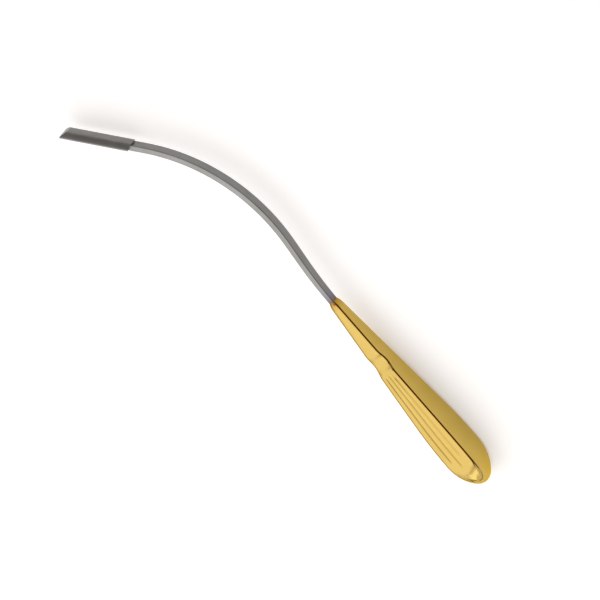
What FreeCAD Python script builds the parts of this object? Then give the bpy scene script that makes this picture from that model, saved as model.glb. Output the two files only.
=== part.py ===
"""Curved surgical elevator: hollow fluted handle, long curved shank and a gouge-backed blade.

Frame while modelling, in millimetres: x = 0 is the neck, where the shank enters the handle.
The handle lies at negative x and the tip points to +x. The shank curves towards +y in the
plane z = 0, and the fluted side with the thumb dish faces +z. The last step moves the origin
to the middle of the base, so that the instrument lies on its other fluted side.
"""
import FreeCAD, Part
import math
import os

V = FreeCAD.Vector

# Reach of a tool solid past the metal that it cuts or keeps.
CLEAR = 20.0

# Handle: a straight taper, a belly that levels off, and a rounded butt that closes a little
# fuller than an ellipse, whose power would be 2.
# Stations are distances behind the neck.
HANDLE_LENGTH = 113.4
TAPER_END = 72.0
WIDEST_STATION = 94.7
NECK_WIDTH = 6.7
WIDTH_TAPER = 0.162
NECK_THICKNESS = 4.2
THICKNESS_TAPER = 0.114
BUTT_POWER = 2.25
SIDE_CROWN = 0.07
MOUTH_ROUND_LENGTH = 3.0
MOUTH_ROUND_STEP = 1.1
WALL = 1.0
GRIND_DEPTH = 0.02

# Creases between the broad faces and the narrow sides. The radius shrinks inside the wall,
# and is never more than a share of the half thickness: one share on the taper, one at the butt.
CREASE_RADIUS = 1.2
CREASE_LOSS_PER_WALL = 0.7
CREASE_SHARE = 0.6
BUTT_CREASE_SHARE = 0.96
BUTT_CREASE_POWER = 2.3

# Sections of the handle's loft: how many between its landmarks, and the butt's last angles.
MOUTH_SECTIONS = 4
TAPER_SECTIONS = 8
DISH_SECTIONS = 10
FLUTE_START_SECTIONS = 8
BELLY_SECTIONS = 8
BUTT_ANGLES = (0, 10, 20, 30, 40, 50, 60, 70, 80, 86)
FLUTED_SIDE_STEPS = 16
PLAIN_SIDE_STEPS = 4

# Flutes on both narrow sides, and the thumb dish on the +Z side.
# Spacing is a share of the thickness; spans are stations where a flute begins and ends.
FLUTE_DEPTH = 0.2
FLUTE_SPACING = 0.24
FLUTE_FADE = 4.5
FLUTE_NARROWNESS = 6
FLUTE_END_POWER = 8
MIDDLE_FLUTE = (41.5, 102.0)
OUTER_FLUTE = (42.5, 97.0)
DISH_STATION = 37.3
DISH_HALF_LENGTH = 6.5
DISH_DEPTH = 1.5

# Shank bar: width along z, thickness in the plane of the bends.
ROOT_WIDTH = 5.4
ROOT_THICKNESS = 2.6
SHANK_WIDTH = 6.3
SHANK_THICKNESS = 2.9
SHANK_CORNER = 0.5
SHANK_GROWTH_LENGTH = 45.0
SHANK_SECTIONS = 16
NECK_BEND_RADIUS = 210.0
NECK_BEND_TURN = -6.3
NECK_STRAIGHT = 12.0
MAIN_BEND_RADIUS = 96.5
BLADE_HEADING = 44.0
SEAT_STRAIGHT = 7.0

# Joint between shank and handle.
ROOT_LENGTH = 9.0
TANG_LENGTH = 19.0
TANG_WIDTH = 4.2
TANG_THICKNESS = 1.6
INSERT_LENGTH = 21.0
SLOT_END_GAP = 0.5
PIN_STATION = 20.0
PIN_RADIUS = 0.9
PIN_END_GAP = 0.06

# Blade, and the tenon that joins it to the shank. Heights are measured outwards
# from the middle of the shank's thickness.
BLADE_LENGTH = 34.6
BLADE_WIDTH = 10.6
BACK_HEIGHT = 2.8
EDGE_TOP = -0.5
EDGE_BOTTOM = -0.9
LIP_LENGTH = 1.2
TIP_BULGE = 0.2
TIP_BEVEL_ANGLE = 42.0
TIP_LAND = 0.5
HOLLOW_RADIUS = 23.9
HOLLOW_DEPTH = 0.35
HOLLOW_START = 17.0
TENON_LENGTH = 8.0
TENON_WIDTH = 4.0
TENON_THICKNESS = 1.6
TENON_RISE = 0.3


def blend(start, end, share):
    """Value that lies a given share of the way from start to end."""
    return start + (end - start) * share


def spread(first, last, count):
    """Evenly spaced values from first up to, but not including, last."""
    return [blend(first, last, step / count) for step in range(count)]


def smooth_step(value):
    """0 below 0, 1 above 1, and a smooth rise between them."""
    share = min(max(value, 0.0), 1.0)
    return share * share * (3 - 2 * share)


def corner_arc(y, z, corner, side_z):
    """Quarter round from the side facing +Y to the side facing +-Z, in the YZ plane."""
    past_flat = corner * (1 - math.sqrt(0.5))
    start = V(0, y, side_z * (z - corner))
    middle = V(0, y - past_flat, side_z * (z - past_flat))
    end = V(0, y - corner, side_z * z)
    return Part.Arc(start, middle, end)


def rounded_bar(width, thickness, corner):
    """Closed rounded rectangle in the YZ plane."""
    y = thickness / 2
    z = width / 2
    half = [
        Part.LineSegment(V(0, y, -(z - corner)), V(0, y, z - corner)).toShape(),
        corner_arc(y, z, corner, 1).toShape(),
        Part.LineSegment(V(0, y - corner, z), V(0, corner - y, z)).toShape(),
        corner_arc(y, z, corner, -1).toShape(),
    ]
    turned = [edge.rotated(V(0, 0, 0), V(1, 0, 0), 180) for edge in half]
    return Part.Wire(Part.sortEdges(half + turned)[0])


def placed(shape, x, y=0.0, heading=0.0):
    """The shape moved to x, y and turned about Z by the heading in degrees."""
    moved = shape.copy()
    moved.Placement = FreeCAD.Placement(V(x, y, 0), FreeCAD.Rotation(V(0, 0, 1), heading))
    return moved


def block(x_range, y_range, z_range):
    """Box between two corners."""
    size = [high - low for low, high in (x_range, y_range, z_range)]
    return Part.makeBox(*size, V(x_range[0], y_range[0], z_range[0]))


# ---- handle ---------------------------------------------------------------


def taper_growth(station):
    """Length of taper grown by a station: it levels off between taper end and widest station."""
    belly = WIDEST_STATION - TAPER_END
    past = min(max(station - TAPER_END, 0.0), belly)
    return min(station, TAPER_END) + past - past**2 / (2 * belly)


def handle_size(station, inset):
    """Half width beside the creases, half thickness and crease radius of the handle or its cavity."""
    grown = taper_growth(station)
    mouth = MOUTH_ROUND_STEP * max(0.0, 1 - station / MOUTH_ROUND_LENGTH) ** 2
    reach = max(0.0, station - WIDEST_STATION) / (HANDLE_LENGTH - inset - WIDEST_STATION)
    shrink = (1 - reach**BUTT_POWER) ** (1 / BUTT_POWER)
    half_width = ((NECK_WIDTH + WIDTH_TAPER * grown - mouth) / 2 - inset) * shrink
    half_thickness = ((NECK_THICKNESS + THICKNESS_TAPER * grown - mouth) / 2 - inset) * shrink
    half_width -= SIDE_CROWN * half_thickness
    sharp = min(CREASE_RADIUS - CREASE_LOSS_PER_WALL * inset, CREASE_SHARE * half_thickness)
    crease = blend(sharp, BUTT_CREASE_SHARE * half_thickness, reach**BUTT_CREASE_POWER)
    return half_width, half_thickness, crease


def dish_sink(station):
    """How far the thumb dish lowers the +Z side at a station."""
    off_centre = min(abs(station - DISH_STATION) / DISH_HALF_LENGTH, 1.0)
    return DISH_DEPTH * (1 - off_centre**2) ** 2


def flute_sink(station, y, flat, thickness):
    """Depth of the flutes at a distance y from the middle plane; none at the flat's end."""
    spacing = FLUTE_SPACING * thickness
    if y > 1.5 * spacing:
        return 0.0
    first, last = MIDDLE_FLUTE if y < 0.5 * spacing else OUTER_FLUTE
    fade = smooth_step((station - first) / FLUTE_FADE) * smooth_step((last - station) / FLUTE_FADE)
    groove = math.cos(math.pi * y / spacing) ** FLUTE_NARROWNESS
    return FLUTE_DEPTH * fade * groove * (1 - (y / flat) ** FLUTE_END_POWER)


def narrow_side(station, inset, side_z):
    """Half of a narrow side, from the crease to the middle plane: a shallow crown with flutes."""
    half_width, half_thickness, crease = handle_size(station, inset)
    dish = dish_sink(station) if side_z > 0 else 0.0
    flat = half_thickness - crease
    points = []
    steps = FLUTED_SIDE_STEPS if inset == 0 else PLAIN_SIDE_STEPS
    for y in spread(flat, 0.0, steps) + [0.0]:
        crown = SIDE_CROWN * half_thickness * (1 - (y / flat) ** 2)
        flutes = flute_sink(station, y, flat, 2 * half_thickness) if inset == 0 else 0.0
        points.append(V(0, y, side_z * (half_width - dish + crown - flutes)))
    curve = Part.BSplineCurve()
    curve.interpolate(Points=points, Parameters=spread(0.0, 1.0, steps) + [1.0])
    return curve


def half_section(station, inset):
    """Closed D-shaped outline of the +Y half of the handle, or of its cavity."""
    half_width, half_thickness, crease = handle_size(station, inset)
    top = half_width - dish_sink(station)
    upper = narrow_side(station, inset, 1)
    lower = narrow_side(station, inset, -1)
    flat = Part.LineSegment(V(0, half_thickness, crease - half_width), V(0, half_thickness, top - crease))
    seam = Part.LineSegment(upper.EndPoint, lower.EndPoint)
    outline = [
        flat,
        corner_arc(half_thickness, top, crease, 1),
        upper,
        seam,
        lower,
        corner_arc(half_thickness, half_width, crease, -1),
    ]
    return placed(Part.Wire([edge.toShape() for edge in outline]), -station)


def half_form(inset=0.0):
    """Solid +Y half of the handle, or of the form that lies inside its wall.

    The butt stations close up towards the end, where a flat about 1 mm across is left.
    """
    dish_start = DISH_STATION - DISH_HALF_LENGTH
    dish_end = DISH_STATION + DISH_HALF_LENGTH
    flutes_full = dish_end + 2 * FLUTE_FADE
    butt_length = HANDLE_LENGTH - inset - WIDEST_STATION
    stations = spread(0.0, MOUTH_ROUND_LENGTH, MOUTH_SECTIONS)
    stations += spread(MOUTH_ROUND_LENGTH, dish_start, TAPER_SECTIONS)
    stations += spread(dish_start, dish_end, DISH_SECTIONS)
    stations += spread(dish_end, flutes_full, FLUTE_START_SECTIONS)
    stations += spread(flutes_full, WIDEST_STATION, BELLY_SECTIONS)
    stations += [WIDEST_STATION + butt_length * math.sin(math.radians(angle)) for angle in BUTT_ANGLES]
    return Part.makeLoft([half_section(station, inset) for station in stations], True)


def half_hollow():
    """+Y half of the cavity, which begins behind the shank's root."""
    behind_root = block((-HANDLE_LENGTH, -ROOT_LENGTH), (0, CLEAR), (-CLEAR, CLEAR))
    return half_form(WALL).common(behind_root)


def broad_face_stock():
    """Metal ground off the +Y broad face, which leaves a true plane along the straight taper."""
    slope = -THICKNESS_TAPER / 2
    level = NECK_THICKNESS / 2 - GRIND_DEPTH
    front = V(CLEAR, level + slope * CLEAR, -CLEAR)
    back = V(-WIDEST_STATION, level - slope * WIDEST_STATION, -CLEAR)
    outline = [front, back, V(back.x, CLEAR, -CLEAR), V(front.x, CLEAR, -CLEAR), front]
    return Part.Face(Part.makePolygon(outline)).extrude(V(0, 0, 2 * CLEAR))


def mirrored(shape):
    """The shape reflected to the other side of the middle plane."""
    return shape.mirror(V(0, 0, 0), V(0, 1, 0))


def handle_shell(half_cavity):
    """Pressed +Y half shell, which meets its mirror image on the plane y = 0."""
    return half_form().cut([half_cavity, shank_root(), broad_face_stock()])


# ---- shank ----------------------------------------------------------------


def shank_runs():
    """Runs of the bar's middle line as (length, radius, turn in degrees)."""
    main_turn = BLADE_HEADING - NECK_BEND_TURN
    return [
        (NECK_BEND_RADIUS * math.radians(abs(NECK_BEND_TURN)), NECK_BEND_RADIUS, NECK_BEND_TURN),
        (NECK_STRAIGHT, 0.0, 0.0),
        (MAIN_BEND_RADIUS * math.radians(main_turn), MAIN_BEND_RADIUS, main_turn),
        (SEAT_STRAIGHT, 0.0, 0.0),
    ]


def shank_place(distance):
    """x, y and heading in degrees of the middle line at a distance from the neck."""
    x = y = heading = 0.0
    for length, radius, turn in shank_runs():
        part = min(distance, length)
        start = math.radians(heading)
        if radius:
            heading += turn * part / length
            end = math.radians(heading)
            side = math.copysign(radius, turn)
            x += side * (math.sin(end) - math.sin(start))
            y -= side * (math.cos(end) - math.cos(start))
        else:
            x += part * math.cos(start)
            y += part * math.sin(start)
        distance -= part
    return x, y, heading


def shank_section(distance):
    """Rounded bar section, which grows from the root over the first part of the shank."""
    share = 1 - (1 - min(distance / SHANK_GROWTH_LENGTH, 1.0)) ** 2
    width = blend(ROOT_WIDTH, SHANK_WIDTH, share)
    thickness = blend(ROOT_THICKNESS, SHANK_THICKNESS, share)
    return placed(rounded_bar(width, thickness, SHANK_CORNER), *shank_place(distance))


def shank_root():
    """Straight end of the bar, held in the mouth of the handle."""
    return placed(Part.Face(rounded_bar(ROOT_WIDTH, ROOT_THICKNESS, SHANK_CORNER)), 0).extrude(
        V(-ROOT_LENGTH, 0, 0)
    )


def tang():
    """Flat tang behind the root, inside the neck insert."""
    end = -ROOT_LENGTH - TANG_LENGTH
    return block(
        (end, -ROOT_LENGTH), (-TANG_THICKNESS / 2, TANG_THICKNESS / 2), (-TANG_WIDTH / 2, TANG_WIDTH / 2)
    )


def tenon():
    """Tongue at the front end of the shank, in the blade's frame."""
    low = -TENON_RISE - TENON_THICKNESS / 2
    high = -TENON_RISE + TENON_THICKNESS / 2
    return block((0, TENON_LENGTH), (low, high), (-TENON_WIDTH / 2, TENON_WIDTH / 2))


def shank():
    """Curved bar with its root, tang and tenon, in one piece of steel."""
    total = sum(run[0] for run in shank_runs())
    curved = total - SEAT_STRAIGHT
    stations = spread(0.0, curved, SHANK_SECTIONS) + [curved]
    bar = Part.makeLoft([shank_section(station) for station in stations], True)
    x, y, heading = shank_place(curved)
    seat_face = Part.Face(rounded_bar(SHANK_WIDTH, SHANK_THICKNESS, SHANK_CORNER))
    seat = placed(seat_face.extrude(V(SEAT_STRAIGHT, 0, 0)), x, y, heading)
    tongue = placed(tenon(), *shank_place(total))
    return bar.fuse([seat, tongue, shank_root(), tang()]).removeSplitter().cut(pin_solid(2 * PIN_RADIUS))


# ---- neck insert and its pin ----------------------------------------------


def pin_solid(extra=0.0):
    """Cross pin along Y at its station; extra lengthens it when it is used as a hole tool."""
    length = 2 * (handle_size(PIN_STATION, WALL)[1] - PIN_END_GAP + extra)
    return Part.makeCylinder(PIN_RADIUS, length, V(-PIN_STATION, -length / 2, 0), V(0, 1, 0))


def neck_insert(half_cavity):
    """Wedge that fills the front of the cavity around the tang."""
    back = -ROOT_LENGTH - INSERT_LENGTH
    half = half_cavity.common(block((back, 0), (0, CLEAR), (-CLEAR, CLEAR)))
    slot_end = tang().translated(V(-SLOT_END_GAP, 0, 0))
    return half.fuse(mirrored(half)).removeSplitter().cut([tang(), slot_end, pin_solid(2 * PIN_RADIUS)])


# ---- blade, in its own frame: x to the tip, -y outwards, z across ----------


def blade_profile():
    """Across the blade: arched back, two blunt edges and a flat inner face."""
    half = BLADE_WIDTH / 2
    back = Part.Arc(V(0, -EDGE_TOP, -half), V(0, -BACK_HEIGHT, 0), V(0, -EDGE_TOP, half))
    near_edge = Part.LineSegment(V(0, -EDGE_TOP, half), V(0, -EDGE_BOTTOM, half))
    inner = Part.LineSegment(V(0, -EDGE_BOTTOM, half), V(0, -EDGE_BOTTOM, -half))
    far_edge = Part.LineSegment(V(0, -EDGE_BOTTOM, -half), V(0, -EDGE_TOP, -half))
    return Part.Face(Part.Wire([edge.toShape() for edge in (back, near_edge, inner, far_edge)]))


def blade_plan():
    """Seen from the back: straight sides, a rounded rear lip and a bowed tip."""
    half = BLADE_WIDTH / 2
    front = BLADE_LENGTH - TIP_BULGE
    near = Part.LineSegment(V(0, -CLEAR, half), V(front, -CLEAR, half))
    tip = Part.Arc(V(front, -CLEAR, half), V(BLADE_LENGTH, -CLEAR, 0), V(front, -CLEAR, -half))
    far = Part.LineSegment(V(front, -CLEAR, -half), V(0, -CLEAR, -half))
    lip = Part.Arc(V(0, -CLEAR, -half), V(-LIP_LENGTH, -CLEAR, 0), V(0, -CLEAR, half))
    face = Part.Face(Part.Wire([edge.toShape() for edge in (near, tip, far, lip)]))
    return face.extrude(V(0, 2 * CLEAR, 0))


def tip_bevel():
    """Wedge of metal ground off the back at the tip, leaving a narrow land on the inner side."""
    angle = math.radians(TIP_BEVEL_ANGLE)
    land = V(BLADE_LENGTH, -EDGE_BOTTOM - TIP_LAND, 0)
    top = land + V(-CLEAR / math.tan(angle), -CLEAR, 0)
    front = land + V(CLEAR, -CLEAR, 0)
    corners = [point - V(0, 0, BLADE_WIDTH) for point in (land, top, front, land)]
    return Part.Face(Part.makePolygon(corners)).extrude(V(0, 0, 2 * BLADE_WIDTH))


def blade_hollow():
    """Ball-ended scoop along the inner face, which runs out through the tip."""
    depth_line = -EDGE_BOTTOM + HOLLOW_RADIUS - HOLLOW_DEPTH
    start = V(HOLLOW_START, depth_line, 0)
    scoop = Part.makeCylinder(HOLLOW_RADIUS, BLADE_LENGTH, start, V(1, 0, 0))
    return scoop.fuse(Part.makeSphere(HOLLOW_RADIUS, start))


def blade():
    """Gouge-backed blade with a socket for the tenon and a lip over the shank's outer face."""
    bar = placed(blade_profile(), -LIP_LENGTH).extrude(V(BLADE_LENGTH + LIP_LENGTH, 0, 0))
    beside_shank = block((-CLEAR, 0), (-SHANK_THICKNESS / 2, CLEAR), (-BLADE_WIDTH, BLADE_WIDTH))
    shaped = bar.common(blade_plan()).cut([beside_shank, tip_bevel(), blade_hollow(), tenon()])
    distance = sum(run[0] for run in shank_runs())
    return placed(shaped, *shank_place(distance))


# ---- assembly --------------------------------------------------------------


def pieces():
    """Every piece by its node name, in the modelling frame."""
    half_cavity = half_hollow()
    left_shell = handle_shell(half_cavity)
    return {
        "handle_shell_left": left_shell,
        "handle_shell_right": mirrored(left_shell),
        "neck_insert": neck_insert(half_cavity),
        "tang_pin": pin_solid(),
        "shank": shank(),
        "blade": blade(),
    }


def main():
    """Move the origin to the middle of the base and write one STEP file per piece."""
    os.makedirs("parts", exist_ok=True)
    found = pieces()
    box = Part.makeCompound(list(found.values())).optimalBoundingBox(False)
    to_base = V(-box.Center.x, -box.Center.y, -box.ZMin)
    for name, shape in found.items():
        shape.translate(to_base)
        shape.exportStep(f"parts/{name}.step")
        print(f"{name}: valid {shape.isValid()}, solids {len(shape.Solids)}, volume {shape.Volume:.1f} mm3")
    print(f"whole instrument: {box.XLength:.1f} x {box.YLength:.1f} x {box.ZLength:.1f} mm")


main()
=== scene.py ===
"""Looks of the curved surgical elevator: gold-plated fluted handle, satin steel shank and blade.

Everything is in metres in the row frame. The neck is where the shank enters the handle;
stations are distances behind it along the handle, which tapers towards +X and has its
thumb dish on the +Z side. The shank curves towards +Y.
"""
import math

import bmesh
import bpy
from mathutils import Matrix, Vector


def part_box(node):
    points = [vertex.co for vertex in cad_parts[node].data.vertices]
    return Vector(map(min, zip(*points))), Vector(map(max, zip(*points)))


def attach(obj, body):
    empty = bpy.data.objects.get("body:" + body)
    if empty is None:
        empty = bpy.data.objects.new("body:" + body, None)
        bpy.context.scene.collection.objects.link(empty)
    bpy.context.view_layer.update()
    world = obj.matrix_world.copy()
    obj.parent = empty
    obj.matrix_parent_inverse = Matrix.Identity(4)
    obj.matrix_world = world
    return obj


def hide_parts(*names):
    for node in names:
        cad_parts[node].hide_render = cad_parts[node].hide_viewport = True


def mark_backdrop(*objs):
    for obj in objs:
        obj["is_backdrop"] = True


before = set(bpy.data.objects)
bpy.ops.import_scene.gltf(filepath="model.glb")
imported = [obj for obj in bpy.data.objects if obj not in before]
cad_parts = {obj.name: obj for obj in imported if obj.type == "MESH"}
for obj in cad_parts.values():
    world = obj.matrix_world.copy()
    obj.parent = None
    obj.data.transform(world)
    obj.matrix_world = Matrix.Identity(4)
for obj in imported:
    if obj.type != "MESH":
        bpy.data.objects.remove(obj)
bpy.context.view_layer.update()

MM = 0.001

# Handle: a straight taper, a belly that levels off, and a rounded butt that closes a little
# fuller than an ellipse, whose power would be 2.
HANDLE_LENGTH = 113.4 * MM
TAPER_END = 72.0 * MM
WIDEST_STATION = 94.7 * MM
NECK_WIDTH = 6.7 * MM
WIDTH_TAPER = 0.162
NECK_THICKNESS = 4.2 * MM
THICKNESS_TAPER = 0.114
BUTT_POWER = 2.25
SIDE_CROWN = 0.07
MOUTH_ROUND_LENGTH = 3.0 * MM
MOUTH_ROUND_STEP = 1.1 * MM
WALL = 1.0 * MM
CREASE_RADIUS = 1.2 * MM
CREASE_LOSS_PER_WALL = 0.7
CREASE_SHARE = 0.6
BUTT_CREASE_SHARE = 0.96
BUTT_CREASE_POWER = 2.3

# Flutes on both narrow sides, and the thumb dish on the +Z side.
FLUTE_DEPTH = 0.2 * MM
FLUTE_SPACING = 0.24
FLUTE_FADE = 4.5 * MM
FLUTE_NARROWNESS = 6
FLUTE_END_POWER = 8
MIDDLE_FLUTE = (41.5 * MM, 102.0 * MM)
OUTER_FLUTE = (42.5 * MM, 97.0 * MM)
DISH_STATION = 37.3 * MM
DISH_HALF_LENGTH = 6.5 * MM
DISH_DEPTH = 1.5 * MM

# Strength of the painted shade, a brown darkening of the plating, at the bottom of a flute and in the middle
# of a crease.
FLUTE_PAINTED_SHADE = 0.3
CREASE_PAINTED_SHADE = 0.8

# Shank bar: width along Z, thickness in the plane of the bends.
ROOT_WIDTH = 5.4 * MM
ROOT_THICKNESS = 2.6 * MM
SHANK_WIDTH = 6.3 * MM
SHANK_THICKNESS = 2.9 * MM
SHANK_CORNER = 0.5 * MM
SHANK_GROWTH_LENGTH = 45.0 * MM
NECK_BEND_RADIUS = 210.0 * MM
NECK_BEND_TURN = -6.3
NECK_STRAIGHT = 12.0 * MM
MAIN_BEND_RADIUS = 96.5 * MM
BLADE_HEADING = 44.0
SEAT_STRAIGHT = 7.0 * MM
ROOT_LENGTH = 9.0 * MM
TANG_LENGTH = 19.0 * MM
TANG_WIDTH = 4.2 * MM
TANG_THICKNESS = 1.6 * MM

# Blade and the tenon that joins it to the shank. Heights are measured outwards
# from the middle of the shank's thickness.
BLADE_LENGTH = 34.6 * MM
BLADE_WIDTH = 10.6 * MM
BACK_HEIGHT = 2.8 * MM
EDGE_TOP = -0.5 * MM
EDGE_BOTTOM = -0.9 * MM
LIP_LENGTH = 1.2 * MM
TIP_BULGE = 0.2 * MM
TIP_BEVEL_ANGLE = 42.0
TIP_LAND = 0.5 * MM
HOLLOW_RADIUS = 23.9 * MM
HOLLOW_DEPTH = 0.35 * MM
HOLLOW_START = 17.0 * MM
TENON_LENGTH = 8.0 * MM
TENON_WIDTH = 4.0 * MM
TENON_THICKNESS = 1.6 * MM
TENON_RISE = 0.3 * MM
HOLLOW_BRIM = 0.1 * MM
EDGE_ROUND = 0.14 * MM
EDGE_ROUND_ANGLE = 34.0
BLADE_STEPS_ACROSS = 36
BLADE_STEPS_ALONG = 60
BLADE_EVENNESS = 0.6

# View: the handle's line as it leans in the picture, and the width of the field.
# The camera is far off, so that the view is nearly parallel, as in the photograph.
VIEW_FROM = Vector((0.12, -0.496, 0.86)).normalized()
HANDLE_LEAN = 130.54
CAMERA_DISTANCE = 6.0
FIELD = 285.0 * MM
FRAMING_RIGHT = -15.8 * MM
FRAMING_UP = 0.4 * MM

# Stage: how far the lights are from the neck, and half the width of the floor.
LIGHT_DISTANCE = 1.3
FLOOR_REACH = 4.0

# Neck point from the frame: the front of the handle, on its middle plane, at mid height.
shell_low, shell_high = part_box("handle_shell_left")
NECK = Vector((shell_high.x, shell_low.y, (shell_low.z + shell_high.z) / 2))


def blend(start, end, share):
    """Value that lies a given share of the way from start to end."""
    return start + (end - start) * share


def spread(first, last, count):
    """Evenly spaced values from first up to, but not including, last."""
    return [blend(first, last, step / count) for step in range(count)]


def smooth_step(value):
    """0 below 0, 1 above 1, and a smooth rise between them."""
    share = min(max(value, 0.0), 1.0)
    return share * share * (3 - 2 * share)


# ---- mesh helpers ------------------------------------------------------------


def skin(mesh, rows, closed=True):
    """Quads between neighbouring rows of vertices; each row is a closed ring or an open line."""
    count = len(rows[0])
    for here, ahead in zip(rows, rows[1:]):
        for index in range(count if closed else count - 1):
            after = (index + 1) % count
            mesh.faces.new((here[index], here[after], ahead[after], ahead[index]))


def join_lines(mesh, long_line, short_line):
    """Triangles between two open lines of vertices that differ in number."""
    far = 0
    for index, (here, ahead) in enumerate(zip(long_line, long_line[1:])):
        mesh.faces.new((here, ahead, short_line[far]))
        if (index + 1) * (len(short_line) - 1) >= (far + 1) * (len(long_line) - 1):
            mesh.faces.new((ahead, short_line[far + 1], short_line[far]))
            far += 1


def add_rows(mesh, rows):
    """Vertices of the mesh for rows of points."""
    return [[mesh.verts.new(point) for point in row] for row in rows]


def finished_object(name, mesh, sharp_angle=32.0):
    """Object in the scene from a closed bmesh, smooth except over sharp edges."""
    bmesh.ops.remove_doubles(mesh, verts=mesh.verts, dist=0.0005 * MM)
    bmesh.ops.recalc_face_normals(mesh, faces=mesh.faces)
    data = bpy.data.meshes.new(name)
    mesh.to_mesh(data)
    mesh.free()
    data.shade_smooth()
    data.set_sharp_from_angle(angle=math.radians(sharp_angle))
    piece = bpy.data.objects.new(name, data)
    bpy.context.scene.collection.objects.link(piece)
    return piece


def with_modifiers(piece):
    """Replace the piece's mesh by the one that its modifiers make."""
    graph = bpy.context.evaluated_depsgraph_get()
    data = bpy.data.meshes.new_from_object(piece.evaluated_get(graph))
    old = piece.data
    piece.modifiers.clear()
    piece.data = data
    bpy.data.meshes.remove(old)
    return piece


def round_edges(piece, width, angle):
    """Small rounds on every edge sharper than the angle."""
    bevel = piece.modifiers.new("rounds", "BEVEL")
    bevel.width = width
    bevel.segments = 3
    bevel.limit_method = "ANGLE"
    bevel.angle_limit = math.radians(angle)
    with_modifiers(piece)
    piece.data.shade_smooth()
    piece.data.set_sharp_from_angle(angle=math.radians(60))
    return piece


# ---- handle ------------------------------------------------------------------


def taper_growth(station):
    """Length of taper grown by a station: it levels off between taper end and widest station."""
    belly = WIDEST_STATION - TAPER_END
    past = min(max(station - TAPER_END, 0.0), belly)
    return min(station, TAPER_END) + past - past**2 / (2 * belly)


def handle_size(station, inset):
    """Half width beside the creases, half thickness and crease radius of the handle or its cavity."""
    grown = taper_growth(station)
    mouth = MOUTH_ROUND_STEP * max(0.0, 1 - station / MOUTH_ROUND_LENGTH) ** 2
    reach = max(0.0, station - WIDEST_STATION) / (HANDLE_LENGTH - inset - WIDEST_STATION)
    shrink = max(0.0, 1 - reach**BUTT_POWER) ** (1 / BUTT_POWER)
    half_width = ((NECK_WIDTH + WIDTH_TAPER * grown - mouth) / 2 - inset) * shrink
    half_thickness = ((NECK_THICKNESS + THICKNESS_TAPER * grown - mouth) / 2 - inset) * shrink
    half_width -= SIDE_CROWN * half_thickness
    sharp = min(CREASE_RADIUS - CREASE_LOSS_PER_WALL * inset, CREASE_SHARE * half_thickness)
    crease = blend(sharp, BUTT_CREASE_SHARE * half_thickness, reach**BUTT_CREASE_POWER)
    return half_width, half_thickness, crease


def dish_sink(station):
    """How far the thumb dish lowers the +Z side at a station."""
    off_centre = min(abs(station - DISH_STATION) / DISH_HALF_LENGTH, 1.0)
    return DISH_DEPTH * (1 - off_centre**2) ** 2


def flute_sink(station, y, flat, thickness):
    """Depth of the flutes at a distance y from the middle plane; none at the flat's end."""
    spacing = FLUTE_SPACING * thickness
    if y > 1.5 * spacing or flat <= 0:
        return 0.0
    first, last = MIDDLE_FLUTE if y < 0.5 * spacing else OUTER_FLUTE
    fade = smooth_step((station - first) / FLUTE_FADE) * smooth_step((last - station) / FLUTE_FADE)
    groove = math.cos(math.pi * y / spacing) ** FLUTE_NARROWNESS
    return FLUTE_DEPTH * fade * groove * (1 - (y / flat) ** FLUTE_END_POWER)


def half_outline(station, inset, side_steps, corner_steps, face_steps):
    """Points (y, z) round one half of the handle, from the middle plane's top to its bottom."""
    half_width, half_thickness, crease = handle_size(station, inset)
    flat = half_thickness - crease
    upper = []
    lower = []
    for y in spread(0.0, flat, side_steps):
        crown = SIDE_CROWN * half_thickness * (1 - (y / flat) ** 2) if flat > 0 else 0.0
        flutes = flute_sink(station, y, flat, 2 * half_thickness) if inset == 0 else 0.0
        upper.append((y, half_width - dish_sink(station) + crown - flutes))
        lower.append((y, flutes - crown - half_width))
    top = half_width - dish_sink(station)
    for angle in spread(0.0, math.pi / 2, corner_steps):
        y = flat + crease * math.sin(angle)
        drop = crease * (1 - math.cos(angle))
        upper.append((y, top - drop))
        lower.append((y, drop - half_width))
    face = [(half_thickness, z) for z in spread(top - crease, crease - half_width, face_steps)]
    return upper + face + [(half_thickness, crease - half_width)] + lower[::-1]


def painted_shade_share(station, y):
    """How far painted shade darkens the plating towards brown at a distance y from the middle plane: in
    flutes and over creases.
    """
    _, half_thickness, crease = handle_size(station, 0.0)
    flat = half_thickness - crease
    if y < flat:
        return FLUTE_PAINTED_SHADE * flute_sink(station, y, flat, 2 * half_thickness) / FLUTE_DEPTH
    if crease <= 0:
        return 0.0
    turn = math.asin(min((y - flat) / crease, 1.0))
    return CREASE_PAINTED_SHADE * math.sin(2 * turn) * min(CREASE_RADIUS / crease, 1.0) ** 2


def root_outline(side_steps, corner_steps, face_steps):
    """The same points round one half of the shank's root."""
    y_flat = ROOT_THICKNESS / 2 - SHANK_CORNER
    z_flat = ROOT_WIDTH / 2 - SHANK_CORNER
    upper = [(y, ROOT_WIDTH / 2) for y in spread(0.0, y_flat, side_steps)]
    for angle in spread(0.0, math.pi / 2, corner_steps):
        upper.append((y_flat + SHANK_CORNER * math.sin(angle), z_flat + SHANK_CORNER * math.cos(angle)))
    face = [(ROOT_THICKNESS / 2, z) for z in spread(z_flat, -z_flat, face_steps)]
    return upper + face + [(ROOT_THICKNESS / 2, -z_flat)] + [(y, -z) for y, z in upper[::-1]]


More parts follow.
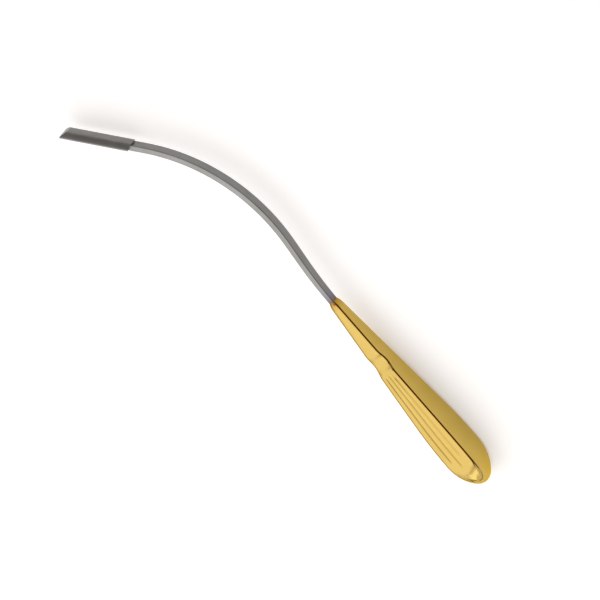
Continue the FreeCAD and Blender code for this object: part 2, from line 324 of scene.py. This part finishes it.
def handle_stations(inset):
    """Stations of the handle's rows, closer together at the dish, the flutes' ends and the butt."""
    root_end = ROOT_LENGTH + 0.2 * MM
    dish_start = DISH_STATION - DISH_HALF_LENGTH
    dish_end = DISH_STATION + DISH_HALF_LENGTH
    flutes_full = dish_end + 2 * FLUTE_FADE
    stations = spread(0.0, MOUTH_ROUND_LENGTH, 6)
    stations += spread(MOUTH_ROUND_LENGTH, ROOT_LENGTH, 4)
    stations += spread(ROOT_LENGTH, root_end, 1)
    stations += spread(root_end, dish_start, 16)
    stations += spread(dish_start, dish_end, 32)
    stations += spread(dish_end, flutes_full, 20)
    stations += spread(flutes_full, WIDEST_STATION, 24)
    butt_length = HANDLE_LENGTH - inset - WIDEST_STATION
    turns = spread(0.0, math.pi / 2, 32) + [math.pi / 2]
    return stations + [WIDEST_STATION + butt_length * math.sin(turn) for turn in turns]


def handle_shell(name, side):
    """Closed half shell with its wall and cavity; side is +1 or -1 along Y."""
    mesh = bmesh.new()
    # Painted shade per vertex: brown darkening at the bottoms of the flutes and in the middle of the
    # creases.
    painted_shade = mesh.verts.layers.float.new("painted_shade")
    outer_rows = []
    inner_rows = []
    painted_shade_rows = []
    for station in handle_stations(0.0):
        outline = half_outline(station, 0.0, side_steps=48, corner_steps=10, face_steps=8)
        outer_rows.append([NECK + Vector((-station, side * y, z)) for y, z in outline])
        painted_shade_rows.append([painted_shade_share(station, y) for y, _ in outline])
    for station in handle_stations(WALL):
        if station <= ROOT_LENGTH:
            outline = root_outline(side_steps=6, corner_steps=4, face_steps=4)
        else:
            outline = half_outline(station, WALL, side_steps=6, corner_steps=4, face_steps=4)
        inner_rows.append([NECK + Vector((-station, side * y, z)) for y, z in outline])
    outer = add_rows(mesh, outer_rows)
    for row, amounts in zip(outer, painted_shade_rows):
        for vertex, amount in zip(row, amounts):
            vertex[painted_shade] = amount
    inner = add_rows(mesh, inner_rows)
    skin(mesh, outer, closed=False)
    skin(mesh, inner, closed=False)
    skin(mesh, [[row[0] for row in outer], [row[0] for row in inner]], closed=False)
    skin(mesh, [[row[-1] for row in outer], [row[-1] for row in inner]], closed=False)
    join_lines(mesh, outer[0], inner[0])
    return finished_object(name, mesh, sharp_angle=40.0)


# ---- shank -------------------------------------------------------------------


def shank_runs():
    """Runs of the bar's middle line as (length, radius, turn in degrees)."""
    main_turn = BLADE_HEADING - NECK_BEND_TURN
    return [
        (NECK_BEND_RADIUS * math.radians(abs(NECK_BEND_TURN)), NECK_BEND_RADIUS, NECK_BEND_TURN),
        (NECK_STRAIGHT, 0.0, 0.0),
        (MAIN_BEND_RADIUS * math.radians(main_turn), MAIN_BEND_RADIUS, main_turn),
        (SEAT_STRAIGHT, 0.0, 0.0),
    ]


def shank_place(distance):
    """Matrix of the middle line at a distance from the neck: x along the bar, y in the bend's plane."""
    x = min(distance, 0.0)
    y = heading = 0.0
    distance = max(distance, 0.0)
    for length, radius, turn in shank_runs():
        part = min(distance, length)
        start = math.radians(heading)
        if radius:
            heading += turn * part / length
            end = math.radians(heading)
            side = math.copysign(radius, turn)
            x += side * (math.sin(end) - math.sin(start))
            y -= side * (math.cos(end) - math.cos(start))
        else:
            x += part * math.cos(start)
            y += part * math.sin(start)
        distance -= part
    return Matrix.Translation(NECK + Vector((x, y, 0))) @ Matrix.Rotation(math.radians(heading), 4, "Z")


def bar_ring(width, thickness, corner, corner_steps=5):
    """Closed ring of (y, z) points round a bar: flats split in four, corners rounded."""
    y_flat = thickness / 2 - corner
    z_flat = width / 2 - corner
    ring = []
    for turn, y_side, z_side in ((0, 1, 1), (1, -1, 1), (2, -1, -1), (3, 1, -1)):
        centre = Vector((y_side * y_flat, z_side * z_flat))
        angles = spread(0.0, math.pi / 2, corner_steps) + [math.pi / 2]
        arc = [centre + corner * Vector((math.cos(a + turn * math.pi / 2), math.sin(a + turn * math.pi / 2)))
               for a in angles]
        if ring:
            ring += [ring[-1].lerp(arc[0], share / 4) for share in (1, 2, 3)]
        ring += arc
    ring += [ring[-1].lerp(ring[0], share / 4) for share in (1, 2, 3)]
    return ring


def shank_stop(distance):
    """Ring of the bar at a distance from the neck."""
    share = 1 - (1 - min(max(distance, 0.0) / SHANK_GROWTH_LENGTH, 1.0)) ** 2
    width = blend(ROOT_WIDTH, SHANK_WIDTH, share)
    thickness = blend(ROOT_THICKNESS, SHANK_THICKNESS, share)
    place = shank_place(distance)
    return [place @ Vector((0, y, z)) for y, z in bar_ring(width, thickness, SHANK_CORNER)]


def shank():
    """Curved bar with its root, tang and tenon, in one closed mesh."""
    total = sum(run[0] for run in shank_runs())
    corner = 0.1 * MM
    tang = bar_ring(TANG_WIDTH, TANG_THICKNESS, corner)
    tenon = bar_ring(TENON_WIDTH, TENON_THICKNESS, corner)
    end = shank_place(total)
    root_back = -ROOT_LENGTH
    rows = [[NECK + Vector((root_back - TANG_LENGTH, y, z)) for y, z in tang]]
    rows += [[NECK + Vector((root_back, y, z)) for y, z in tang]]
    rows += [shank_stop(distance) for distance in spread(root_back, 0.0, 4)]
    rows += [shank_stop(distance) for distance in spread(0.0, total, 150)]
    rows += [shank_stop(total)]
    rows += [[end @ Vector((x, y - TENON_RISE, z)) for y, z in tenon] for x in (0.0, TENON_LENGTH)]
    mesh = bmesh.new()
    rings = add_rows(mesh, rows)
    skin(mesh, rings)
    mesh.faces.new(rings[0][::-1])
    mesh.faces.new(rings[-1])
    return finished_object("satin_shank", mesh)


# ---- blade, in its own frame: x to the tip, height outwards, z across -----------


def back_radius():
    """Radius of the arched back."""
    half = BLADE_WIDTH / 2
    sagitta = BACK_HEIGHT - EDGE_TOP
    return (half**2 + sagitta**2) / (2 * sagitta)


def back_height(z):
    """Height of the arched back across the blade."""
    radius = back_radius()
    return BACK_HEIGHT - radius + math.sqrt(radius**2 - z**2)


def bevel_x(height):
    """Where the tip's bevel is at a height."""
    slope = math.tan(math.radians(TIP_BEVEL_ANGLE))
    return BLADE_LENGTH - (height - EDGE_BOTTOM - TIP_LAND) / slope


def bevel_height(x):
    """Height of the tip's bevel at a distance along the blade."""
    slope = math.tan(math.radians(TIP_BEVEL_ANGLE))
    return EDGE_BOTTOM + TIP_LAND + (BLADE_LENGTH - x) * slope


def tip_x(z):
    """Where the bowed tip is, across the blade."""
    return BLADE_LENGTH - TIP_BULGE * (2 * z / BLADE_WIDTH) ** 2


def bevel_start(z):
    """Where the tip's bevel cuts the back, across the blade; the tip itself where it doesn't."""
    return min(tip_x(z), bevel_x(back_height(z)))


def tip_height(z):
    """Height of the back's metal at the tip."""
    return min(back_height(z), bevel_height(tip_x(z)))


def inner_height(x, z):
    """Height of the inner face, with the ball-ended scoop softened at its brim."""
    centre = EDGE_BOTTOM + HOLLOW_DEPTH - HOLLOW_RADIUS
    inside = HOLLOW_RADIUS**2 - z**2 - min(0.0, x - HOLLOW_START) ** 2
    scoop = centre + math.sqrt(inside) if inside > 0 else centre
    gap = scoop - EDGE_BOTTOM
    return EDGE_BOTTOM + (gap + math.sqrt(gap**2 + HOLLOW_BRIM**2)) / 2


def lip_x(z):
    """Rear end of the lip over the shank's outer face, zero where the back is no higher than the face."""
    radius = back_radius()
    reach = math.sqrt(radius**2 - (radius - BACK_HEIGHT + SHANK_THICKNESS / 2) ** 2)
    return -LIP_LENGTH * math.sqrt(max(0.0, 1 - (z / reach) ** 2))


def blade():
    """Gouge-backed blade with a socket for the tenon and a lip over the shank's outer face."""
    half = BLADE_WIDTH / 2
    side_steps = 3
    across = []
    for step in range(BLADE_STEPS_ACROSS + 1):
        share = 2 * step / BLADE_STEPS_ACROSS - 1
        crowded = math.sin(math.radians(90 * share))
        across.append(blend(half * crowded, half * share, BLADE_EVENNESS))

    def ring(place_top, place_bottom):
        top = [place_top(z) for z in across]
        bottom = [place_bottom(z) for z in across]
        near = [top[-1].lerp(bottom[-1], step / side_steps) for step in range(1, side_steps)]
        far = [bottom[0].lerp(top[0], step / side_steps) for step in range(1, side_steps)]
        return top + near + bottom[::-1] + far

    def point(x, height, z):
        return Vector((x, -height, z))

    def socket_ring(x):
        low = TENON_RISE - TENON_THICKNESS / 2
        high = TENON_RISE + TENON_THICKNESS / 2
        squeeze = TENON_WIDTH / BLADE_WIDTH
        return ring(lambda z: point(x, high, squeeze * z), lambda z: point(x, low, squeeze * z))

    def rear_bottom(z):
        return point(0.0, inner_height(0.0, z), z)

    shank_face = SHANK_THICKNESS / 2
    rows = [socket_ring(TENON_LENGTH), socket_ring(0.0)]
    rows += [ring(lambda z: point(0.0, min(back_height(z), shank_face), z), rear_bottom)]
    rows += [ring(lambda z: point(lip_x(z), min(back_height(z), shank_face), z), rear_bottom)]
    rows += [ring(lambda z: point(lip_x(z), back_height(z), z), rear_bottom)]
    for share in spread(0.0, 1.0, BLADE_STEPS_ALONG)[1:]:
        rows.append(ring(
            lambda z: point(blend(lip_x(z), bevel_start(z), share), back_height(z), z),
            lambda z: point(share * tip_x(z), inner_height(share * tip_x(z), z), z),
        ))

    def tip_bottom(z):
        return point(tip_x(z), inner_height(tip_x(z), z), z)

    rows.append(ring(lambda z: point(bevel_start(z), back_height(z), z), tip_bottom))
    rows.append(ring(lambda z: point(tip_x(z), tip_height(z), z), tip_bottom))
    place = shank_place(sum(run[0] for run in shank_runs()))
    mesh = bmesh.new()
    rings = add_rows(mesh, [[place @ spot for spot in row] for row in rows])
    skin(mesh, rings)
    count = len(across)
    for last_ring in (rings[0], rings[-1]):
        top = last_ring[:count]
        bottom = last_ring[count + side_steps - 1:2 * count + side_steps - 1][::-1]
        for index in range(1, count - 2):
            mesh.faces.new((top[index], top[index + 1], bottom[index + 1], bottom[index]))
        near = last_ring[count:count + side_steps - 1]
        far = last_ring[2 * count + side_steps - 1:]
        mesh.faces.new([top[-2], top[-1], *near, bottom[-1], bottom[-2]])
        mesh.faces.new([top[1], bottom[1], bottom[0], *far, top[0]])
    piece = finished_object("gouge_blade", mesh)
    return round_edges(piece, EDGE_ROUND, EDGE_ROUND_ANGLE)


# ---- materials -----------------------------------------------------------------


class Surface:
    """A Principled material with short calls for its nodes."""

    def __init__(self, name):
        self.material = bpy.data.materials.new(name)
        self.material.use_nodes = True
        self.tree = self.material.node_tree
        self.shader = self.tree.nodes["Principled BSDF"]
        self.coordinates = self.node("ShaderNodeTexCoord").outputs["Object"]

    def node(self, kind, **settings):
        """New node with attributes set."""
        node = self.tree.nodes.new(kind)
        for key, value in settings.items():
            setattr(node, key, value)
        return node

    def link(self, output, socket):
        """Join an output to an input socket."""
        self.tree.links.new(output, socket)

    def moved(self, origin=(0, 0, 0), turn=0.0, scale=(1, 1, 1)):
        """Object coordinates from an origin, turned about Z by degrees, then scaled."""
        shift = self.node("ShaderNodeVectorMath", operation="SUBTRACT")
        shift.inputs[1].default_value = origin
        self.link(self.coordinates, shift.inputs[0])
        mapping = self.node("ShaderNodeMapping")
        mapping.inputs["Rotation"].default_value = (0, 0, -math.radians(turn))
        self.link(shift.outputs[0], mapping.inputs["Vector"])
        stretch = self.node("ShaderNodeVectorMath", operation="MULTIPLY")
        stretch.inputs[1].default_value = scale
        self.link(mapping.outputs[0], stretch.inputs[0])
        return stretch.outputs[0]

    def noise(self, vector, scale, detail=3.0, roughness=0.5):
        """Noise value over a vector."""
        noise = self.node("ShaderNodeTexNoise")
        noise.inputs["Scale"].default_value = scale
        noise.inputs["Detail"].default_value = detail
        noise.inputs["Roughness"].default_value = roughness
        self.link(vector, noise.inputs["Vector"])
        return noise.outputs["Fac"]

    def ramp(self, value, stops):
        """Colour ramp over a value; stops are (position, (r, g, b))."""
        ramp = self.node("ShaderNodeValToRGB")
        elements = ramp.color_ramp.elements
        while len(elements) < len(stops):
            elements.new(0.5)
        for element, (position, colour) in zip(elements, stops):
            element.position = position
            element.color = (*colour, 1.0)
        self.link(value, ramp.inputs[0])
        return ramp.outputs[0]

    def span(self, value, low, high):
        """Map a 0 to 1 value onto low to high."""
        node = self.node("ShaderNodeMapRange")
        node.inputs["To Min"].default_value = low
        node.inputs["To Max"].default_value = high
        self.link(value, node.inputs["Value"])
        return node.outputs[0]

    def mix(self, factor, first, second, blend_type="MIX"):
        """Mix of two colours by a factor, either of which may be a number or an output."""
        node = self.node("ShaderNodeMix", data_type="RGBA", blend_type=blend_type)
        for socket, value in ((node.inputs[0], factor), (node.inputs[6], first), (node.inputs[7], second)):
            if isinstance(value, bpy.types.NodeSocket):
                self.link(value, socket)
            else:
                socket.default_value = value if isinstance(value, float) else (*value, 1.0)
        return node.outputs[2]

    def bump(self, height, strength, distance):
        """Bump from a height, into the shader's normal."""
        node = self.node("ShaderNodeBump")
        node.inputs["Strength"].default_value = strength
        node.inputs["Distance"].default_value = distance
        self.link(height, node.inputs["Height"])
        self.link(node.outputs[0], self.shader.inputs["Normal"])

    def along_x(self, start, length):
        """0 to 1 over a length along X from a start."""
        split = self.node("ShaderNodeSeparateXYZ")
        self.link(self.coordinates, split.inputs[0])
        node = self.node("ShaderNodeMapRange")
        node.inputs["From Min"].default_value = start
        node.inputs["From Max"].default_value = start + length
        self.link(split.outputs[0], node.inputs["Value"])
        return node.outputs[0]


def gold_plate():
    """Polished gold plating with a faint cloudy tone, wipe marks, painted brown shade in the flutes and
    creases, and a heat stain.
    """
    surface = Surface("gold_plate")
    cloud = surface.noise(surface.moved(), 90.0, detail=2.0)
    wipe = surface.noise(surface.moved(scale=(1, 14, 14)), 120.0, detail=2.0)
    tone = surface.ramp(cloud, [(0.3, (0.545, 0.395, 0.110)), (0.7, (0.575, 0.415, 0.122))])
    painted_shade = surface.node("ShaderNodeAttribute", attribute_name="painted_shade").outputs["Fac"]
    # Painted shade: the plating is mixed towards dark brown in the flutes and creases.
    tone = surface.mix(painted_shade, tone, (0.40, 0.20, 0.02))
    stain = surface.along_x(NECK.x, -5.0 * MM)
    heat = surface.ramp(stain, [
        (0.0, (0.62, 0.48, 0.50)),
        (0.35, (0.86, 0.74, 0.60)),
        (1.0, (1.0, 1.0, 1.0)),
    ])
    surface.link(surface.mix(1.0, tone, heat, "MULTIPLY"), surface.shader.inputs["Base Color"])
    surface.shader.inputs["Metallic"].default_value = 1.0
    surface.shader.inputs["Specular Tint"].default_value = (1.0, 0.8, 0.3, 1.0)
    surface.link(surface.span(wipe, 0.12, 0.22), surface.shader.inputs["Roughness"])
    surface.bump(wipe, 0.02, 0.02 * MM)
    return surface.material


def satin_steel(name, turn, heat_tint):
    """Satin steel with painted light that brightens its upward-facing narrow side, brushed along a heading,
    heat tinted at the handle.
    """
    surface = Surface(name)
    brush = surface.noise(surface.moved(origin=NECK, turn=turn, scale=(1, 22, 22)), 260.0, 4.0, 0.7)
    grain = surface.noise(surface.moved(), 2200.0, detail=2.0)
    cloud = surface.noise(surface.moved(), 120.0, detail=2.0)
    tone = surface.ramp(cloud, [(0.3, (0.200, 0.199, 0.193)), (0.7, (0.235, 0.234, 0.228))])
    upward = surface.node("ShaderNodeSeparateXYZ")
    surface.link(surface.node("ShaderNodeTexCoord").outputs["Normal"], upward.inputs[0])
    # Painted light: faces whose normal points up are made up to 1.38 times brighter.
    painted_top_light = surface.ramp(upward.outputs[2], [(0.80, (1.0, 1.0, 1.0)), (0.97, (1.38, 1.38, 1.38))])
    grey = surface.mix(1.0, tone, painted_top_light, "MULTIPLY")
    grey = surface.mix(1.0, grey, surface.span(brush, 0.86, 1.10), "MULTIPLY")
    grey = surface.mix(1.0, grey, surface.span(grain, 0.90, 1.10), "MULTIPLY")
    if heat_tint:
        band = surface.along_x(NECK.x, 9.0 * MM)
        heat = surface.ramp(band, [
            (0.0, (0.66, 0.50, 0.42)),
            (0.15, (0.78, 0.68, 0.72)),
            (0.40, (0.86, 0.84, 0.95)),
            (1.0, (1.0, 1.0, 1.0)),
        ])
        grey = surface.mix(1.0, grey, heat, "MULTIPLY")
    surface.link(grey, surface.shader.inputs["Base Color"])
    surface.shader.inputs["Metallic"].default_value = 1.0
    surface.link(surface.span(brush, 0.30, 0.44), surface.shader.inputs["Roughness"])
    surface.bump(brush, 0.12, 0.03 * MM)
    return surface.material


def core_steel():
    """As-machined steel of the pieces inside the handle, with turning marks."""
    surface = Surface("core_steel")
    marks = surface.noise(surface.moved(scale=(20, 1, 1)), 300.0, 3.0, 0.6)
    tone = surface.ramp(marks, [(0.3, (0.30, 0.30, 0.31)), (0.7, (0.44, 0.44, 0.45))])
    surface.link(tone, surface.shader.inputs["Base Color"])
    surface.shader.inputs["Metallic"].default_value = 1.0
    surface.link(surface.span(marks, 0.30, 0.48), surface.shader.inputs["Roughness"])
    surface.bump(marks, 0.15, 0.03 * MM)
    return surface.material


def floor_finish():
    """Plain pale matt floor with a barely visible mottle."""
    surface = Surface("pale_floor")
    mottle = surface.noise(surface.moved(), 6.0, detail=2.0)
    tone = surface.ramp(mottle, [(0.3, (0.90, 0.90, 0.895)), (0.7, (0.92, 0.92, 0.915))])
    surface.link(tone, surface.shader.inputs["Base Color"])
    surface.shader.inputs["Roughness"].default_value = 0.9
    surface.shader.inputs["Specular IOR Level"].default_value = 0.0
    surface.shader.inputs["Emission Color"].default_value = (1.0, 1.0, 1.0, 1.0)
    surface.shader.inputs["Emission Strength"].default_value = 0.35
    return surface.material


# ---- stage ---------------------------------------------------------------------


def floor():
    """Large plain floor under the object."""
    mesh = bmesh.new()
    bmesh.ops.create_grid(mesh, x_segments=8, y_segments=8, size=FLOOR_REACH)
    data = bpy.data.meshes.new("floor")
    mesh.to_mesh(data)
    mesh.free()
    piece = bpy.data.objects.new("floor", data)
    bpy.context.scene.collection.objects.link(piece)
    data.materials.append(floor_finish())
    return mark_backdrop(piece)


def softbox(name, lean_x, lean_y, spread_x, spread_y, radiance):
    """Area light that leans off the zenith by angles in degrees and spans half angles about them."""
    data = bpy.data.lights.new(name, "AREA")
    data.shape = "RECTANGLE"
    data.size = 2 * LIGHT_DISTANCE * math.tan(math.radians(spread_x))
    data.size_y = 2 * LIGHT_DISTANCE * math.tan(math.radians(spread_y))
    data.energy = radiance * math.pi * data.size * data.size_y
    lamp = bpy.data.objects.new(name, data)
    lean = Matrix.Rotation(math.radians(-lean_y), 4, "X") @ Matrix.Rotation(math.radians(lean_x), 4, "Y")
    lamp.matrix_world = Matrix.Translation(NECK) @ lean @ Matrix.Translation((0, 0, LIGHT_DISTANCE))
    lamp.visible_camera = False
    bpy.context.scene.collection.objects.link(lamp)
    return lamp


def studio():
    """Soft light over the far side and overhead, dimmer cards at both ends, and a dark warm room."""
    softbox("key", lean_x=0.0, lean_y=31.0, spread_x=35.0, spread_y=23.0, radiance=1.42)
    softbox("key_wing_front", lean_x=48.0, lean_y=31.0, spread_x=13.0, spread_y=23.0, radiance=0.8)
    softbox("key_wing_back", lean_x=-48.0, lean_y=31.0, spread_x=13.0, spread_y=23.0, radiance=0.8)
    softbox("far_card", lean_x=0.0, lean_y=67.0, spread_x=50.0, spread_y=13.0, radiance=0.7)
    softbox("top", lean_x=-8.0, lean_y=-6.0, spread_x=27.0, spread_y=14.0, radiance=1.42)
    softbox("blade_card", lean_x=48.0, lean_y=-37.0, spread_x=20.0, spread_y=30.0, radiance=0.42)
    softbox("butt_card", lean_x=-66.0, lean_y=0.0, spread_x=20.0, spread_y=35.0, radiance=0.9)
    world = bpy.data.worlds.new("studio")
    bpy.context.scene.world = world
    world.use_nodes = True
    background = world.node_tree.nodes["Background"]
    background.inputs["Color"].default_value = (0.070, 0.035, 0.018, 1.0)
    bpy.context.scene.view_settings.view_transform = "Standard"


def camera():
    """Camera at the photograph's viewing angle, framed on the whole instrument."""
    data = bpy.data.cameras.new("camera")
    data.sensor_width = 36.0
    data.lens = data.sensor_width * CAMERA_DISTANCE / FIELD
    data.clip_end = 20.0
    along = Vector((1, 0, 0))
    along = (along - along.dot(VIEW_FROM) * VIEW_FROM).normalized()
    across = VIEW_FROM.cross(along)
    lean = math.radians(HANDLE_LEAN)
    right = math.cos(lean) * along - math.sin(lean) * across
    up = math.sin(lean) * along + math.cos(lean) * across
    target = NECK + FRAMING_RIGHT * right + FRAMING_UP * up
    place = Matrix((right, up, VIEW_FROM)).transposed().to_4x4()
    place.translation = target + CAMERA_DISTANCE * VIEW_FROM
    eye = bpy.data.objects.new("camera", data)
    eye.matrix_world = place
    bpy.context.scene.collection.objects.link(eye)
    bpy.context.scene.camera = eye


# ---- assembly --------------------------------------------------------------------


def dress(piece, material, node):
    """Give the piece its material, let it ride and let it stand for its CAD node."""
    piece.data.materials.clear()
    piece.data.materials.append(material)
    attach(piece, "root")
    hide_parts(node)


camera()
studio()
floor()

gold = gold_plate()
dress(handle_shell("gold_shell_right", -1), gold, "handle_shell_right")
dress(handle_shell("gold_shell_left", 1), gold, "handle_shell_left")
dress(shank(), satin_steel("satin_steel_shank", 20.0, True), "shank")
dress(blade(), satin_steel("satin_steel_blade", BLADE_HEADING, False), "blade")

core = core_steel()
for hidden in ("neck_insert", "tang_pin"):
    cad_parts[hidden].data.materials.clear()
    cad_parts[hidden].data.materials.append(core)
